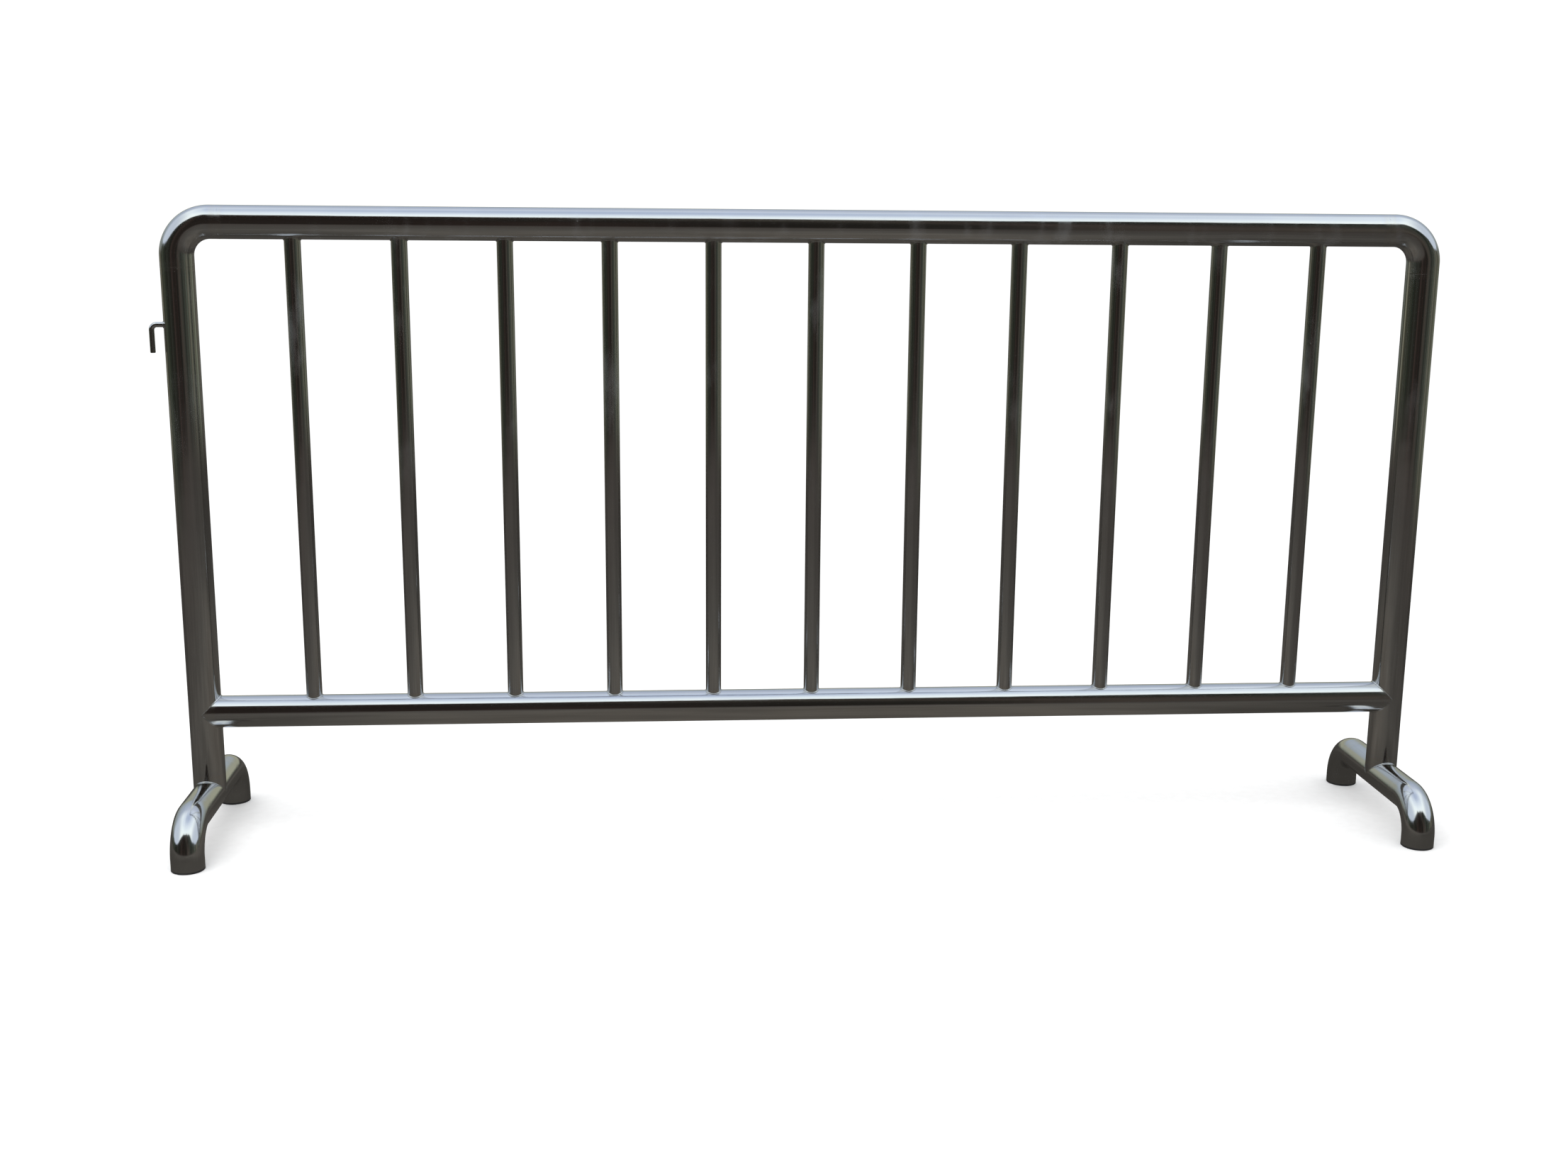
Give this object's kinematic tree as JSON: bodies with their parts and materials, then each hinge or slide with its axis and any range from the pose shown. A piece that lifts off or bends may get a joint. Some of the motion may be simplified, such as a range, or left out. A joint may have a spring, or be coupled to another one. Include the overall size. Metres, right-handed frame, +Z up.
{
  "type": "crowd control barrier",
  "caption": "Free-standing welded tube barrier with rounded top corners, upright infill bars, two short cross feet, a side hook and a matching slot.",
  "frame": {"origin": "on the floor, at the middle of the barrier's overall box: the middle of its length including the hook, and the barrier's own plane", "axes": "+X along the length towards the slotted post, +Y to the rear, +Z up; the hook stands out at the -X end"},
  "size_m": [2.023, 0.375, 1],
  "materials": {
    "polished_steel_tube": "mirror-polished stainless steel tube",
    "polished_steel_bar": "polished stainless steel tube, lightly smudged",
    "polished_steel_elbow": "polished stainless steel with ground and buffed weld zones",
    "hook_steel": "drawn stainless steel rod, satin",
    "black_plastic": "moulded black polyethylene, fine texture"
  },
  "bodies": {
    "root": {"top_rail": "polished_steel_tube", "left_top_elbow": "polished_steel_elbow", "right_top_elbow": "polished_steel_elbow", "left_post": "polished_steel_tube", "right_post": "polished_steel_tube", "bottom_rail": "polished_steel_tube", "bar_01": "polished_steel_bar", "bar_02": "polished_steel_bar", "bar_03": "polished_steel_bar", "bar_04": "polished_steel_bar", "bar_05": "polished_steel_bar", "bar_06": "polished_steel_bar", "bar_07": "polished_steel_bar", "bar_08": "polished_steel_bar", "bar_09": "polished_steel_bar", "bar_10": "polished_steel_bar", "bar_11": "polished_steel_bar", "left_foot_tube": "polished_steel_tube", "right_foot_tube": "polished_steel_tube", "left_front_foot_elbow": "polished_steel_elbow", "left_rear_foot_elbow": "polished_steel_elbow", "right_front_foot_elbow": "polished_steel_elbow", "right_rear_foot_elbow": "polished_steel_elbow", "left_front_foot_plug": "black_plastic", "left_rear_foot_plug": "black_plastic", "right_front_foot_plug": "black_plastic", "right_rear_foot_plug": "black_plastic", "coupling_hook": "hook_steel"}
  },
  "joints": []
}
